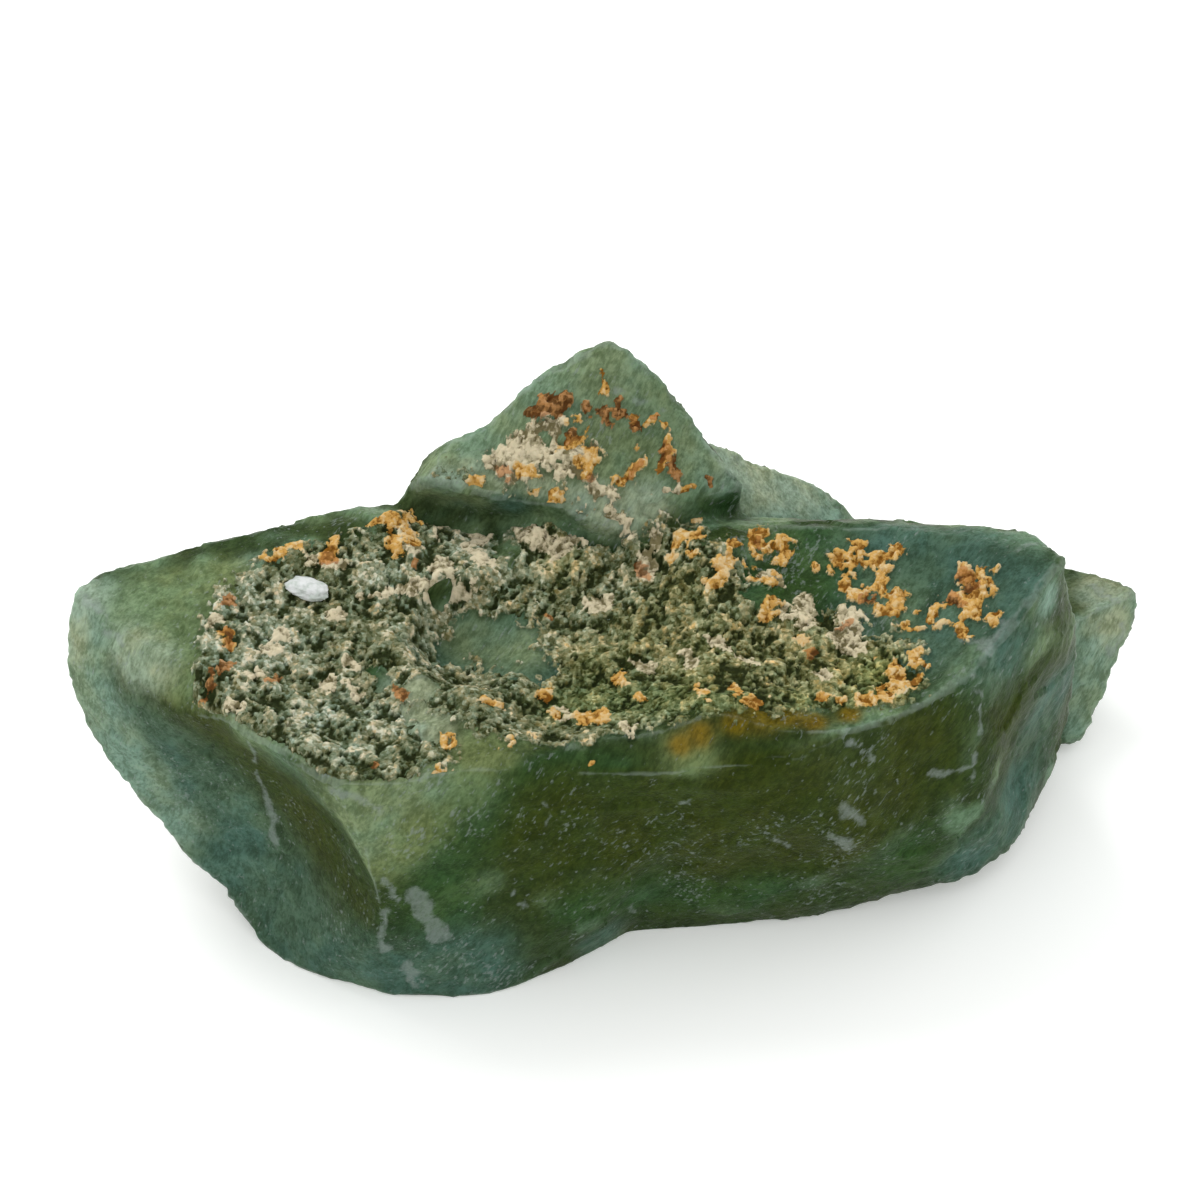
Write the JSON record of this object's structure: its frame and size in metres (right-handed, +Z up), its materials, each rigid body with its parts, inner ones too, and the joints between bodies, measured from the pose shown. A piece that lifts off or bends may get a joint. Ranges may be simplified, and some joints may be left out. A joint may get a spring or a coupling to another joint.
{
  "type": "botryoidal fluorite specimen",
  "caption": "Broken chunk of green fluorite with a lumpy granular crust on top and a flat break underneath to rest on; display stone or collector's mineral specimen.",
  "frame": {"origin": "middle of the stone's footprint box, on the surface that it rests on", "axes": "+X along the stone, to the right seen from its front; +Y from the front to the back; +Z up out of the crust"},
  "size_m": [0.1068, 0.0564, 0.046],
  "materials": {
    "fluorite": "translucent green, waxy broken faces; matt granular crust with ochre stains on top"
  },
  "bodies": {
    "root": {"fluorite": "fluorite"}
  },
  "joints": []
}
